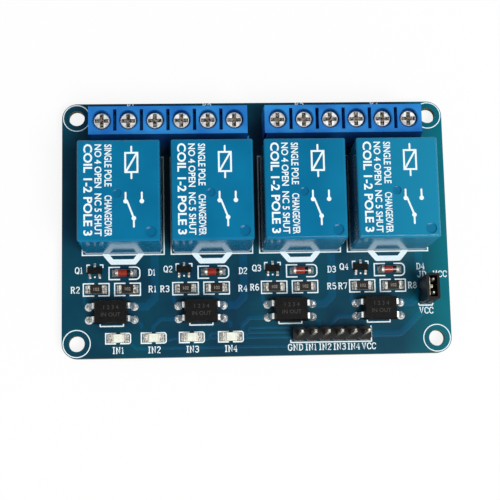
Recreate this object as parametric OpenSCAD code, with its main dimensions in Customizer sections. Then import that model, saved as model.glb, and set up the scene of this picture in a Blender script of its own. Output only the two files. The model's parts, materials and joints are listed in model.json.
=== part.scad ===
// Four-channel relay board: a circuit board with four sealed relays, two rows of
// rising-cage screw terminals, optocoupler inputs, status lamps and pin headers.
// Millimetres. The origin is the centre of the mounting-hole pattern on the board's
// underside, +X runs along the board and +Z points away from the components' side.

/* [Board] */
// Thickness of the circuit board
board_t = 1.6; // [1.2:0.1:2]
// Radius of the board's four corners
corner_r = 3; // [2:0.1:3.6]
// Diameter of the mounting holes
hole_d = 3.1; // [2.6:0.1:3.3]
// Distance from a mounting hole's centre to the two edges next to it
hole_inset = 2.9; // [2.8:0.1:3.4]
// Depth of the strip in front of the relays that holds the small components
front_zone = 20.4; // [20:0.1:24]
// Width of the board behind the terminal blocks
rear_margin = 2.8; // [2.2:0.1:5]
// Length of the board beyond each end of the terminal rows
end_space = 5.96; // [5.9:0.02:9]
// Distance that the trimmed leads stand out below the board
lead_tail = 1.6; // [1.2:0.1:3]
// Thickness of the printed legend
print_t = 0.04; // [0.02:0.01:0.08]
// Width of the legend's thin lines
print_w = 0.24; // [0.16:0.02:0.3]

/* [Relays] */
// Width of a relay, along the board
relay_w = 15.4; // [14.9:0.1:16.4]
// Length of a relay, across the board
relay_l = 19.2; // [18.8:0.1:20.4]
// Height of a relay above the board
relay_h = 15.3; // [15:0.1:17]
// Space between two relays
relay_gap = 2; // [1.2:0.1:2.6]
// Thickness of a relay cover's side walls
cover_wall = 0.8; // [0.6:0.05:0.9]
// Thickness of a relay cover's roof
cover_roof = 1; // [0.7:0.1:1.2]
// Radius of a relay cover's upright and top edges
cover_r = 0.5; // [0.3:0.05:0.8]
// Thickness of a relay's base plate
base_t = 1.2; // [1:0.1:1.4]
// Height of the coil former
bobbin_h = 6.7; // [6:0.1:6.8]
// Width across the coil former's square flanges
bobbin_w = 10; // [9:0.1:10.4]
// Thickness of the yoke's iron strip
yoke_t = 0.8; // [0.6:0.05:1]
// Width of the yoke and the armature
yoke_w = 9; // [8:0.1:9.6]
// Thickness of the armature plate
armature_t = 1; // [0.8:0.05:1.1]
// Angle that the armature stands open when the coil is off
open_angle = 3.2; // [2.6:0.1:3.4]

/* [Terminals] */
// Distance between two terminals
pole_pitch = 5.08; // [5:0.02:5.4]
// Depth of a terminal block, across the board
block_d = 7.6; // [7.5:0.1:9]
// Height of a terminal block
block_h = 10; // [9.8:0.1:11.5]
// Space between the relays and the terminal blocks
block_gap = 0.8; // [0.4:0.1:2]
// Space between the two terminal blocks
run_gap = 3.32; // [2.4:0.02:6]
// Diameter of a terminal screw's head
head_d = 3.05; // [2.8:0.05:3.2]
// Height of a terminal screw's head
head_h = 0.7; // [0.5:0.05:0.9]
// Diameter of a terminal screw's thread
thread_d = 2.5; // [2:0.1:2.6]
// Outer width and depth of a wire cage
cage_w = 3.6; // [3.4:0.05:3.7]
// Height of a wire cage
cage_h = 4.8; // [4.5:0.05:4.8]
// Thickness of a wire cage's walls
cage_t = 0.5; // [0.4:0.05:0.6]
// Height that a wire cage rises when its screw is tightened
cage_travel = 2.25; // [1.8:0.05:2.25]

/* [Headers] */
// Distance between two header pins, which is also the header strip's width and height
pin_pitch = 2.54; // [2.5:0.02:2.6]
// Width of a square header pin
pin_w = 0.64; // [0.5:0.02:0.7]
// Height of the header pins above the board
pin_h = 8.7; // [8:0.1:11]
// Height of the jumper cap
cap_h = 6; // [5:0.1:8]
// Thickness of the jumper cap's walls
cap_wall = 0.5; // [0.4:0.05:0.55]

/* [Small components] */
// Length of an optocoupler's body, between its rows of leads
opto_l = 6.5; // [6:0.1:7]
// Width of an optocoupler's body
opto_w = 4.6; // [4.2:0.1:5]
// Height of an optocoupler's body
opto_h = 3.5; // [3:0.1:4]
// Distance from an optocoupler's middle to a row of its solder holes
opto_hole_x = 4.4; // [4.2:0.1:4.8]
// Length of a chip resistor or lamp
chip_l = 3.2; // [3:0.1:3.5]
// Width of a chip resistor or lamp
chip_w = 1.6; // [1.2:0.1:1.7]
// Height of a chip resistor
chip_h = 0.6; // [0.4:0.05:0.8]
// Diameter of a diode's glass body
diode_d = 1.4; // [1.2:0.05:1.5]
// Length of a diode
diode_l = 3.4; // [3.2:0.1:3.7]
// Length of a transistor's body
sot_l = 2.9; // [2.6:0.1:3]

/* [Hidden] */
$fn = 48;
eps = 0.01;

// Counts that the real board fixes
relays = 4;
run_poles = 6;
input_pins = 6;

// Overall size of the board, from what stands on it
board_l = 2 * (run_gap / 2 + run_poles * pole_pitch + end_space);
board_w = front_zone + relay_l + block_gap + block_d + rear_margin;
front_y = -board_w / 2;
hole_x = board_l / 2 - hole_inset;
hole_y = board_w / 2 - hole_inset;

// Places of the relays and the parts of each relay, from the relay's own middle
relay_pitch = relay_w + relay_gap;
relay_y = front_y + front_zone + relay_l / 2;
function relay_x(i) = (i - (relays - 1) / 2) * relay_pitch;
fit = 0.05;
cover_lift = 0.3;
base_z = 0.5;
base_top = base_z + base_t;
pin_side = relay_w / 2 - cover_wall - 0.9;
common_y = -relay_l / 2 + cover_wall + 1.6;
coil_setback = 6.2;
coil_y = common_y + coil_setback;
coil_pin = [pin_side, common_y + 2.1];
contact_pin = [pin_side, relay_l / 2 - cover_wall - 1.7];
contact_arm_y = contact_pin[1] - 0.8;
contact_arm_w = 1.8;
coil_pin_w = 0.6;
pin_slack = 0.2;
yoke_leg_t = 1;
yoke_top = base_top + yoke_t + bobbin_h + 0.4;
pivot_z = yoke_top + 0.1 + armature_t / 2;
core_r = 2.3;
pole_r = 3.4;
winding_r = bobbin_w / 2 - 0.3;
flange_t = 0.7;
leaf_t = 0.25;
leaf_rivets = [3.4, 7];
rivet_r = 1.1;
rivet_h = 1.3;
strip_t = 0.4;
relay_pin_w = 0.9;
relay_pin_t = 0.5;

// Places in a terminal block, from its lower edge next to the relays
block_y = relay_y + relay_l / 2 + block_gap;
run_l = run_poles * pole_pitch;
deck_back = 1.6;
deck_front = block_d - 0.5;
screw_y = (deck_back + deck_front) / 2 + 0.05;
slope_drop = 4.2;
slope_z = block_h - slope_drop;
cage_gap = 0.1;
cage_z = 1;
cage_top_t = 1.2;
ceiling_z = cage_z + cage_h + cage_travel + 0.15;
lip_t = 0.4;
thread_gap = 0.05;
anvil_t = 0.5;
anvil_z = cage_z + cage_t + cage_travel + 0.1 + 0.05;
anvil_w = 2.2;
anvil_reach = 1.5;
leg_w = 1;
leg_y = screw_y - cage_w / 2 - 0.9;
slot_w = 0.65;
slot_l = 4.2;
slot_depth = 3.5;
mouth_w = 3.4;
mouth_bevel = 0.3;
function pole_x(n) = n < run_poles
    ? -(run_gap / 2) - run_l + (n + 0.5) * pole_pitch
    : run_gap / 2 + (n - run_poles + 0.5) * pole_pitch;

// Rows of the small components, counted from the board's front edge
transistor_row = 17.1;
diode_row = 16.57;
resistor_row = 13.4;
jumper_row = 12.1;
opto_row = 8.7;
input_row = 3.92;
lamp_row = 3.8;

// Places of the small components, from the middle of the relay that they serve
transistor_at = [-5.55, front_y + transistor_row];
diode_at = [0.2, front_y + diode_row];
resistor_left_at = [-5.3, front_y + resistor_row];
resistor_right_at = [0.78, front_y + resistor_row];
opto_at = [-2.3, front_y + opto_row];
opto_z = 0.6;
led_y = front_y + lamp_row;
led_x = [-27.2, -20.3, -12.9, -5.3];
input_header = [14.3, front_y + input_row];
jumper_at = [33.25, front_y + jumper_row];
chip_cap = 0.45;
pad_reach = 0.5;
lens_l = 2;
lens_h = 1.05;
sot_w = 1.3;
sot_h = 1;
sot_lead_w = 0.42;
sot_pitch = 1.9;
diode_cap = 0.5;
shoulder_w = 1.1;
shoulder_z = 1;
resistor_frame = [chip_l + 2 * pad_reach + 0.8, chip_w + 0.8];
led_frame = [chip_l + 2 * pad_reach + 0.6, chip_w + 0.4];
diode_frame = [diode_l + 2.6, diode_d + 1];
frame_gap = chip_w / 2;

// Every lead that goes through the board: [x, y, width in x, width in y, drill, pad radius]
relay_leads = [for (i = [0 : relays - 1]) each [
    for (s = [-1, 1]) each [
        [relay_x(i) + s * coil_pin[0], relay_y + coil_pin[1], coil_pin_w, coil_pin_w, 1.1, 1.1],
        [relay_x(i) + s * contact_pin[0], relay_y + contact_pin[1], relay_pin_t, relay_pin_w, 1.3, 1.3]
    ],
    [relay_x(i), relay_y + common_y, relay_pin_w, relay_pin_t, 1.3, 1.3]
]];
pole_leads = [for (n = [0 : 2 * run_poles - 1])
    [pole_x(n), block_y + leg_y, leg_w, anvil_t, 1.4, 1.4]];
header_leads = [
    for (k = [0 : input_pins - 1])
        [input_header[0] + (k - (input_pins - 1) / 2) * pin_pitch, input_header[1], pin_w, pin_w, 1, 0.85],
    for (s = [-1, 1])
        [jumper_at[0], jumper_at[1] + s * pin_pitch / 2, pin_w, pin_w, 1, 0.85]
];
opto_lead_w = 0.5;
opto_lead_t = 0.25;
opto_leads = [for (i = [0 : relays - 1], sx = [-1, 1], sy = [-1, 1])
    [relay_x(i) + opto_at[0] + sx * opto_hole_x, opto_at[1] + sy * pin_pitch / 2,
     opto_lead_t, opto_lead_w, 0.8, 0.8]];
all_leads = concat(relay_leads, pole_leads, header_leads, opto_leads);

// ---- shared shapes ----

// A rectangle with round corners
module round_rect(w, l, r) {
    square([w - 2 * r, l], center = true);
    square([w, l - 2 * r], center = true);
    for (sx = [-1, 1], sy = [-1, 1]) translate([sx * (w / 2 - r), sy * (l / 2 - r)]) circle(r);
}

// A side view with a flat foot and round top corners
module round_top(w, h, r) {
    translate([-w / 2, 0]) square([w, h - r]);
    translate([-w / 2 + r, 0]) square([w - 2 * r, h]);
    for (s = [-1, 1]) translate([s * (w / 2 - r), h - r]) circle(r);
}

// Extrudes a side view drawn in X and Z along Y
module along_y(length) {
    translate([0, length / 2, 0]) rotate([90, 0, 0]) linear_extrude(length) children();
}

// Extrudes a side view drawn in Y and Z along X
module along_x(length) {
    translate([-length / 2, 0, 0]) rotate([90, 0, 90]) linear_extrude(length) children();
}

// A box that stands on z0, centred in X and Y
module post(w, l, z0, z1) {
    translate([-w / 2, -l / 2, z0]) cube([w, l, z1 - z0]);
}

// A moulded body that is widest at its parting line, halfway up
module moulded_body(l, w, h, draft) {
    intersection() {
        along_y(w) polygon([[-l / 2 + draft, 0], [l / 2 - draft, 0], [l / 2, h / 2],
                            [l / 2 - draft, h], [-l / 2 + draft, h], [-l / 2, h / 2]]);
        along_x(l) polygon([[-w / 2 + draft, 0], [w / 2 - draft, 0], [w / 2, h / 2],
                            [w / 2 - draft, h], [-w / 2 + draft, h], [-w / 2, h / 2]]);
    }
}

// A square pin with both tips tapered
module tapered_pin(w, z0, z1) {
    taper = w / 2;
    tip = w / 4;
    side = [[-tip, z0], [tip, z0], [w / 2, z0 + taper], [w / 2, z1 - taper],
            [tip, z1], [-tip, z1], [-w / 2, z1 - taper], [-w / 2, z0 + taper]];
    intersection() {
        along_y(w) polygon(side);
        along_x(w) polygon(side);
    }
}

// ---- board ----

module pcb() {
    color([0.05, 0.29, 0.42]) linear_extrude(board_t) difference() {
        round_rect(board_l, board_w, corner_r);
        for (sx = [-1, 1], sy = [-1, 1]) translate([sx * hole_x, sy * hole_y]) circle(d = hole_d);
        for (p = all_leads) translate([p[0], p[1]]) circle(d = p[4]);
    }
}

// The soldered joint of each lead: a cone below the board, with the lead through it
module through_hole_solder() {
    cone_h = lead_tail * 0.65;
    color([0.78, 0.79, 0.8]) {
        for (p = all_leads) translate([p[0], p[1], 0]) difference() {
            translate([0, 0, -cone_h]) cylinder(h = cone_h, r1 = p[5] * 0.42, r2 = p[5]);
            post(p[2], p[3], -2 * cone_h, eps);
        }
        for (p = opto_leads) translate([p[0], p[1], board_t]) difference() {
            cylinder(h = 0.3, r1 = p[5], r2 = p[5] * 0.6);
            post(p[2], p[3], -eps, 1);
        }
    }
}

// ---- printed legend ----

// A straight printed line
module stroke(from, to, w = print_w) {
    run = to - from;
    translate(from) rotate(atan2(run[1], run[0])) translate([0, -w / 2]) square([norm(run), w]);
    for (p = [from, to]) translate(p) circle(d = w, $fn = 24);
}

// A printed line through several points
module path(points, w = print_w) {
    for (k = [1 : len(points) - 1]) stroke(points[k - 1], points[k], w);
}

// A printed frame with a gap in the middle of its front and back sides
module open_frame(size, gap, r = eps) {
    difference() {
        round_rect_end(size[0] + print_w, size[1] + print_w, r + print_w / 2);
        round_rect_end(size[0] - print_w, size[1] - print_w, max(r - print_w / 2, eps));
        square([gap, 2 * size[1]], center = true);
    }
}

// A rectangle whose right-hand corners are round
module round_rect_end(l, w, r) {
    translate([-l / 2, -w / 2]) square([l - r, w]);
    translate([-l / 2, -w / 2 + r]) square([l, w - 2 * r]);
    for (s = [-1, 1]) translate([l / 2 - r, s * (w / 2 - r)]) circle(r);
}

// The wide half octagon that marks the mains side of a relay, drawn from the relay's front edge
module mains_mark() {
    half = 4;
    front = -2.1;
    back = 1.1;
    w = 1.05;
    cut = 1.8;
    path([[-half + w / 2, back], [-half + w / 2, front + cut + w / 4],
          [-half + cut, front + w / 2], [half - cut, front + w / 2],
          [half - w / 2, front + cut + w / 4], [half - w / 2, back]], w);
}

module relay_legend() {
    frame_l = relay_l + 0.1 + print_w;
    frame_w = relay_w + 0.6;
    translate([0, relay_y]) difference() {
        square([frame_w + print_w, frame_l + print_w], center = true);
        square([frame_w - print_w, frame_l - print_w], center = true);
    }
    translate([0, relay_y - relay_l / 2]) mains_mark();
    side = sot_l / 2 + 0.1;
    back = sot_w / 2 + 0.55;
    translate(transistor_at) {
        path([[-side, -0.1], [-side, back], [-side + 0.5, back]]);
        path([[side, back - 0.5], [side, back], [side - 0.5, back]]);
        translate([0, -back]) circle(0.17);
    }
    translate(diode_at) open_frame(diode_frame, diode_l / 2, 0.8);
    for (at = [resistor_left_at, resistor_right_at]) translate(at) open_frame(resistor_frame, frame_gap);
    bracket = [opto_l / 2 - 1, -opto_w / 2 - 0.2];
    translate(opto_at) path([[-bracket[0], bracket[1] + 0.4], [-bracket[0], bracket[1]],
                             [bracket[0], bracket[1]], [bracket[0], bracket[1] + 0.4]]);
}

module header_legend() {
    side = input_pins * pin_pitch / 2 + 0.3;
    front = pin_pitch / 2 + 0.2;
    translate(input_header) path([[-side, -front + 0.4], [-side, -front], [side, -front], [side, front]]);
    jumper_front = -pin_pitch - 0.2;
    half = pin_pitch / 2;
    translate(jumper_at) path([[-half - 0.15, jumper_front + 0.3], [-half, jumper_front],
                               [half, jumper_front], [half + 0.15, jumper_front + 0.3]]);
}

module legend_print() {
    color([0.92, 0.97, 0.97]) translate([0, 0, board_t]) linear_extrude(print_t) {
        for (i = [0 : relays - 1]) translate([relay_x(i), 0]) relay_legend();
        for (x = led_x) translate([x, led_y]) open_frame(led_frame, frame_gap, 0.4);
        header_legend();
        for (sx = [-1, 1], sy = [-1, 1]) translate([sx * hole_x, sy * hole_y]) difference() {
            circle(hole_inset - 0.17);
            circle(hole_inset - 0.36);
        }
    }
}

// ---- relays ----

module relay_cover(i) {
    color([0.07, 0.5, 0.67]) translate([relay_x(i), relay_y, board_t]) difference() {
        intersection() {
            translate([0, 0, cover_lift]) linear_extrude(relay_h) round_rect(relay_w, relay_l, cover_r);
            along_y(relay_l + 1) round_top(relay_w, relay_h, cover_r);
            along_x(relay_w + 1) round_top(relay_l, relay_h, cover_r);
        }
        post(relay_w - 2 * cover_wall, relay_l - 2 * cover_wall, 0, relay_h - cover_roof);
        translate([-0.3, -0.6, relay_h - 0.25]) cylinder(h = 1, d = 1.7);
        translate([relay_w / 2 - 1.8, -relay_l / 2 + 1.7, relay_h - 0.3]) cylinder(h = 1, d = 2.1);
    }
}

// The signs of a coil and of a changeover contact, printed on each cover
module relay_mark() {
    w = 0.34;
    coil = [2.6, 4];
    coil_lead = 1;
    spread = 1.5;
    reach = 1.6;
    dot_r = 0.42;
    translate([coil[0] - 0.2, relay_l / 4 + 0.4]) {
        difference() {
            square(coil, center = true);
            square([coil[0] - 2 * w, coil[1] - 2 * w], center = true);
        }
        stroke([w - coil[0] / 2, w - coil[1] / 2], [coil[0] / 2 - w, coil[1] / 2 - w], w);
        for (s = [-1, 1]) stroke([0, s * coil[1] / 2], [0, s * (coil[1] / 2 + coil_lead)], w);
    }
    translate([coil[0] + 0.2, -relay_l / 5 + 0.1]) {
        path([[0, -2 * reach], [0, -reach], [-0.8 * spread, reach]], w);
        for (s = [-1, 1]) path([[s * spread, 2 * reach], [s * spread, reach]], w);
        for (p = [[0, -reach], [-spread, reach], [spread, reach]]) translate(p) circle(dot_r);
    }
}

module relay_marks() {
    color([0.85, 0.97, 0.98]) translate([0, relay_y, board_t + relay_h]) linear_extrude(print_t)
        for (i = [0 : relays - 1]) translate([relay_x(i), 0]) relay_mark();
}

module each_relay() {
    for (i = [0 : relays - 1]) translate([relay_x(i), relay_y, board_t]) children();
}

module relay_bases() {
    inner = 2 * (cover_wall + fit);
    color([0.12, 0.3, 0.42]) each_relay() difference() {
        union() {
            post(relay_w - inner, relay_l - inner, base_z, base_top);
            for (sx = [-1, 1], sy = [-1, 1]) translate([sx * (pin_side - 0.6), sy * 1.5, 0])
                cylinder(h = base_z, r = 0.7);
        }
        for (s = [-1, 1]) {
            translate([s * coil_pin[0], coil_pin[1]])
                post(coil_pin_w + pin_slack, coil_pin_w + pin_slack, 0, 2 * base_top);
            translate([s * contact_pin[0], contact_pin[1]])
                post(relay_pin_t + pin_slack, relay_pin_w + pin_slack, 0, 2 * base_top);
        }
        translate([0, common_y]) post(relay_pin_w + pin_slack, relay_pin_t + pin_slack, 0, 2 * base_top);
    }
}

// The former: a tube with square flanges and two ears over the coil's pins
module relay_bobbins() {
    z0 = base_top + yoke_t;
    color([0.9, 0.88, 0.8]) each_relay() difference() {
        union() {
            for (z = [z0, z0 + bobbin_h - flange_t]) translate([0, coil_y, z])
                linear_extrude(flange_t) round_rect(bobbin_w, bobbin_w, 1);
            translate([0, coil_y, z0]) cylinder(h = bobbin_h, r = core_r + 0.7);
            for (s = [-1, 1]) translate([s * (pin_side - 0.3), coil_pin[1]]) post(1.6, 1.6, z0, z0 + flange_t);
        }
        translate([0, coil_y, 0]) cylinder(h = relay_h, r = core_r + fit);
    }
}

module relay_coils() {
    z0 = base_top + yoke_t + flange_t;
    color([0.72, 0.4, 0.2]) each_relay() translate([0, coil_y, z0]) difference() {
        cylinder(h = bobbin_h - 2 * flange_t, r = winding_r);
        translate([0, 0, -1]) cylinder(h = 2 * bobbin_h, r = core_r + 0.7 + fit);
    }
}

// The iron circuit: an L-shaped yoke with the core riveted in it, and the common pin
module relay_yokes() {
    leg_back = common_y - yoke_leg_t / 2;
    color([0.55, 0.56, 0.58]) each_relay() {
        translate([-yoke_w / 2, leg_back, base_top]) {
            cube([yoke_w, coil_y + core_r - leg_back, yoke_t]);
            cube([yoke_w, yoke_leg_t, yoke_top - base_top]);
        }
        translate([0, coil_y, base_top]) cylinder(h = yoke_top - base_top, r = core_r);
        translate([0, coil_y, yoke_top - 0.4]) cylinder(h = 0.4, r = pole_r);
        translate([0, common_y]) post(relay_pin_w, relay_pin_t, -board_t - lead_tail, base_top + eps);
    }
}

// A fixed contact: a pin, an arm across the relay and a contact button on it
module fixed_contact(side, arm_z, button_up) {
    tail = -board_t - lead_tail;
    translate([side * contact_pin[0], contact_pin[1]]) post(relay_pin_t, relay_pin_w, tail, arm_z + strip_t);
    pin_edge = contact_pin[0] + relay_pin_t / 2;
    arm_end = rivet_r + 0.3;
    translate([side > 0 ? -arm_end : -pin_edge, contact_arm_y - contact_arm_w / 2, arm_z])
        cube([pin_edge + arm_end, contact_arm_w, strip_t]);
    translate([0, contact_arm_y, button_up ? arm_z + strip_t : arm_z - 0.3]) cylinder(h = 0.3, r = rivet_r);
}

module relay_contacts() {
    lower_z = pivot_z - strip_t - 0.4;
    upper_z = pivot_z + rivet_h + (contact_arm_y - common_y + rivet_r) * sin(open_angle) + 0.45;
    color([0.85, 0.68, 0.4]) each_relay() {
        fixed_contact(-1, lower_z, true);
        fixed_contact(1, upper_z, false);
        for (s = [-1, 1]) translate([s * coil_pin[0], coil_pin[1]])
            post(coil_pin_w, coil_pin_w, -board_t - lead_tail, base_top + yoke_t - fit);
    }
}

// The armature stands open on the yoke's edge, with the contact leaf riveted on it
module relay_armature(i) {
    plate_l = coil_y + pole_r - common_y + 0.4;
    leaf_end = contact_arm_y - common_y + 1;
    color([0.66, 0.66, 0.64]) translate([relay_x(i), relay_y + common_y, board_t + pivot_z])
        rotate([open_angle, 0, 0]) {
            along_x(yoke_w) circle(d = armature_t);
            translate([-yoke_w / 2, 0, -armature_t / 2]) cube([yoke_w, plate_l, armature_t]);
            translate([-1.6, 2, armature_t / 2]) cube([3.2, leaf_end - 2, leaf_t]);
            translate([0, contact_arm_y - common_y, 0]) cylinder(h = rivet_h, r = rivet_r);
            for (y = leaf_rivets) translate([0, y, armature_t / 2]) cylinder(h = leaf_t + 0.3, r = 0.6);
        }
}

// ---- screw terminals ----

// One row of six terminals, moulded as one housing that is open underneath
module terminal_block(first) {
    middle = (pole_x(first) + pole_x(first + run_poles - 1)) / 2;
    pocket = cage_w + 2 * cage_gap;
    mouth_z = cage_z + cage_t - mouth_bevel;
    mouth_h = anvil_z - mouth_z;
    color([0.13, 0.47, 0.8]) translate([0, block_y, board_t]) difference() {
        union() {
            translate([middle, 0, 0]) along_x(run_l) polygon([
                [0, 0], [block_d, 0], [block_d, block_h - 3.6], [deck_front, block_h - 3.1],
                [deck_front, block_h], [deck_back, block_h], [0, slope_z]]);
            translate([middle + run_l / 2, 0.5, 0]) linear_extrude(slope_z + 0.8)
                polygon([[-1, 0.35], [-eps, 0.35], [0.4, 0.1], [0.4, 1.5], [-eps, 1.25], [-1, 1.25]]);
        }
        translate([middle - run_l / 2, 0.5, -eps]) linear_extrude(block_h)
            polygon([[-1, 0.2], [0, 0.2], [0.45, 0], [0.45, 1.6], [0, 1.4], [-1, 1.4]]);
        for (n = [first : first + run_poles - 1]) translate([pole_x(n), screw_y, 0]) {
            post(pocket, pocket, -1, ceiling_z);
            translate([0, leg_y - screw_y + 0.4]) post(anvil_w + 0.2, 1.4, -1, anvil_z + anvil_t + 0.1);
            translate([0, block_d - screw_y]) {
                post(mouth_w, 2 * (block_d - screw_y), mouth_z, mouth_z + mouth_h);
                post(mouth_w + 2 * mouth_bevel, 1, mouth_z - mouth_bevel, mouth_z + mouth_h + mouth_bevel);
            }
            cylinder(h = block_h + 1, d = thread_d + 2 * thread_gap);
            translate([0, 0, ceiling_z + lip_t]) cylinder(h = block_h, d = head_d + 0.5);
            translate([0, 0, block_h - 0.2]) cylinder(h = 0.2 + eps, d1 = head_d + 0.5, d2 = head_d + 0.9);
        }
        for (n = [first : first + run_poles - 2]) translate([pole_x(n) + pole_pitch / 2, screw_y])
            post(slot_w, slot_l, block_h - slot_depth, block_h + 1);
    }
}

// A screw with a crossed slot, held under the housing's lip so that it turns in place
module terminal_screw(n) {
    head_z = ceiling_z + lip_t + 0.02;
    tip_z = anvil_z + anvil_t + 0.15;
    color([0.8, 0.81, 0.82]) translate([pole_x(n), block_y + screw_y, board_t]) difference() {
        union() {
            translate([0, 0, tip_z]) cylinder(h = head_z - tip_z + eps, d = thread_d);
            translate([0, 0, head_z]) cylinder(h = head_h - 0.12, d = head_d);
            translate([0, 0, head_z + head_h - 0.12]) cylinder(h = 0.12, d1 = head_d, d2 = head_d - 0.24);
        }
        for (turn = [0, 90]) rotate(turn) post(head_d * 0.86, 0.75, head_z + head_h - 0.45, block_h + 1);
    }
}

// A cage that the screw draws up, so that its floor presses the wire to the pin's plate
module terminal_cage(n) {
    window_w = cage_w - 2 * cage_t;
    window_h = cage_h - cage_t - cage_top_t;
    color([0.75, 0.75, 0.72]) translate([pole_x(n), block_y + screw_y, board_t + cage_z]) difference() {
        along_y(cage_w) difference() {
            translate([0, cage_h / 2]) round_rect(cage_w, cage_h, 0.4);
            translate([-window_w / 2, cage_t]) square([window_w, window_h]);
        }
        cylinder(h = 2 * cage_h, d = thread_d + 2 * thread_gap);
    }
}

// Each terminal's fixed plate, bent down behind the cage into its solder leg
module terminal_pins() {
    tail = -board_t - lead_tail;
    color([0.8, 0.72, 0.5]) for (n = [0 : 2 * run_poles - 1]) translate([pole_x(n), block_y, board_t]) {
        translate([-anvil_w / 2, leg_y - anvil_t / 2, anvil_z])
            cube([anvil_w, screw_y + anvil_reach - leg_y, anvil_t]);
        translate([0, leg_y]) post(leg_w, anvil_t, tail, anvil_z + eps);
    }
}

// ---- headers and jumper ----

// One segment of a header strip, with its corners cut where the strip snaps apart
module header_segment() {
    s = pin_pitch / 2;
    c = 0.4;
    difference() {
        linear_extrude(pin_pitch) polygon([[-s, -s + c], [-s + c, -s], [s - c, -s], [s, -s + c],
                                           [s, s - c], [s - c, s], [-s + c, s], [-s, s - c]]);
        post(pin_w + 0.02, pin_w + 0.02, -1, pin_pitch + 1);
    }
}

module header_bases() {
    color([0.08, 0.08, 0.08]) for (p = header_leads) translate([p[0], p[1], board_t]) header_segment();
}

module header_pins() {
    color([0.8, 0.76, 0.6]) for (p = header_leads) translate([p[0], p[1], board_t])
        tapered_pin(pin_w, -board_t - lead_tail, pin_h);
}

module at_jumper() {
    translate([jumper_at[0], jumper_at[1], board_t + pin_pitch + 0.02]) children();
}

// A cap that bridges the two pins: an open-ended sleeve with a grip rib on each end
module jumper_cap() {
    color([0.07, 0.07, 0.07]) at_jumper() difference() {
        union() {
            linear_extrude(cap_h) round_rect(pin_pitch - 0.04, 2 * pin_pitch - 0.1, 0.3);
            for (s = [-1, 1]) translate([0, s * (pin_pitch - 0.05)])
                linear_extrude(cap_h - 1) round_rect(1, 0.4, 0.15);
        }
        post(pin_pitch - 2 * cap_wall, 2 * pin_pitch - 2 * cap_wall, -1, cap_h + 1);
    }
}

// The contact strip inside the cap, with a tab that reaches between the pins
module jumper_clip() {
    wall_x = -(pin_pitch - 2 * cap_wall) / 2;
    color([0.85, 0.83, 0.78]) at_jumper() {
        translate([wall_x + 0.02, -pin_pitch * 0.68, 0.6]) cube([0.18, pin_pitch * 1.36, cap_h - 1]);
        translate([wall_x + 0.19, -0.3, 0.6]) cube([0.5, 0.6, cap_h - 1]);
    }
}

// ---- small components ----

module optocoupler(i) {
    color([0.1, 0.1, 0.1]) translate([relay_x(i) + opto_at[0], opto_at[1], board_t + opto_z]) difference() {
        moulded_body(opto_l, opto_w, opto_h, 0.25);
        translate([-opto_l / 2 + 0.95, opto_w / 2 - 0.95, opto_h - 0.12]) cylinder(h = 1, r = 0.35);
    }
}

// Leads that leave the body halfway up and spread down to the solder holes
module optocoupler_leads() {
    top = opto_z + opto_h / 2 + opto_lead_t / 2;
    knee = opto_l / 2 + 0.4;
    t = opto_lead_t;
    out = opto_hole_x + t / 2;
    tail = -board_t - lead_tail;
    side = [[opto_l / 2, top], [knee, top], [out, 0.55], [out, tail], [out - t, tail],
            [out - t, 0.5], [knee - 0.15, top - t], [opto_l / 2, top - t]];
    color([0.8, 0.8, 0.8]) for (i = [0 : relays - 1], sx = [0, 1], sy = [-1, 1])
        translate([relay_x(i) + opto_at[0], opto_at[1] + sy * pin_pitch / 2, board_t]) mirror([sx, 0, 0]) {
            along_y(opto_lead_w) polygon(side);
            intersection() {
                along_y(shoulder_w) polygon(side);
                post(3 * opto_l, 2 * shoulder_w, shoulder_z, 2 * opto_h);
            }
        }
}

module at_resistors() {
    for (i = [0 : relays - 1], at = [resistor_left_at, resistor_right_at])
        translate([relay_x(i) + at[0], at[1], board_t]) children();
}

module resistors() {
    color([0.15, 0.13, 0.12]) at_resistors() post(chip_l - 2 * chip_cap, chip_w, 0.05, chip_h);
}

// Lamps: a white lens on a thin carrier between the end caps
module status_leds() {
    color([0.95, 0.95, 0.9]) for (x = led_x) translate([x, led_y, board_t]) {
        post(chip_l - 2 * chip_cap, chip_w, 0.05, 0.45);
        along_y(chip_w - 0.1) polygon([[-lens_l / 2, 0.4], [lens_l / 2, 0.4],
                                       [lens_l / 2 - 0.15, lens_h], [-lens_l / 2 + 0.15, lens_h]]);
    }
}

module diodes() {
    color([0.75, 0.25, 0.15]) for (i = [0 : relays - 1])
        translate([relay_x(i) + diode_at[0], diode_at[1], board_t + diode_d / 2 + 0.1])
            along_x(diode_l - 2 * diode_cap) circle(d = diode_d);
}

module transistors() {
    color([0.1, 0.1, 0.1]) for (i = [0 : relays - 1])
        translate([relay_x(i) + transistor_at[0], transistor_at[1], board_t + 0.1])
            moulded_body(sot_l, sot_w, sot_h, 0.12);
}

// A plated end with its solder fillet, drawn for the right-hand end of a chip
module chip_end(h) {
    x = chip_l / 2;
    along_y(chip_w) polygon([[x - chip_cap, 0.05], [x - chip_cap, h + 0.03], [x, h + 0.03],
                             [x + 0.08, h * 0.6], [x + pad_reach, 0.06], [x + pad_reach, 0],
                             [x - chip_cap, 0]]);
}

module diode_end() {
    end = diode_l / 2;
    inner = end - diode_cap;
    translate([inner, 0, diode_d / 2 + 0.1]) rotate([0, 90, 0]) cylinder(h = diode_cap, d = diode_d + 0.1);
    along_y(diode_d - 0.1) polygon([[inner, 0], [end + 0.7, 0], [end + 0.1, diode_d * 0.6], [inner, 0.5]]);
}

// A bent lead of a transistor, drawn for the front side
module transistor_lead() {
    y = -sot_w / 2;
    z = sot_h / 2 + 0.02;
    along_x(sot_lead_w) polygon([[y, z + 0.16], [y - 0.35, z + 0.16], [y - 0.47, 0.16], [y - 0.85, 0.12],
                                 [y - 0.85, 0], [y - 0.29, 0], [y - 0.19, z], [y, z]]);
}

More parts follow.
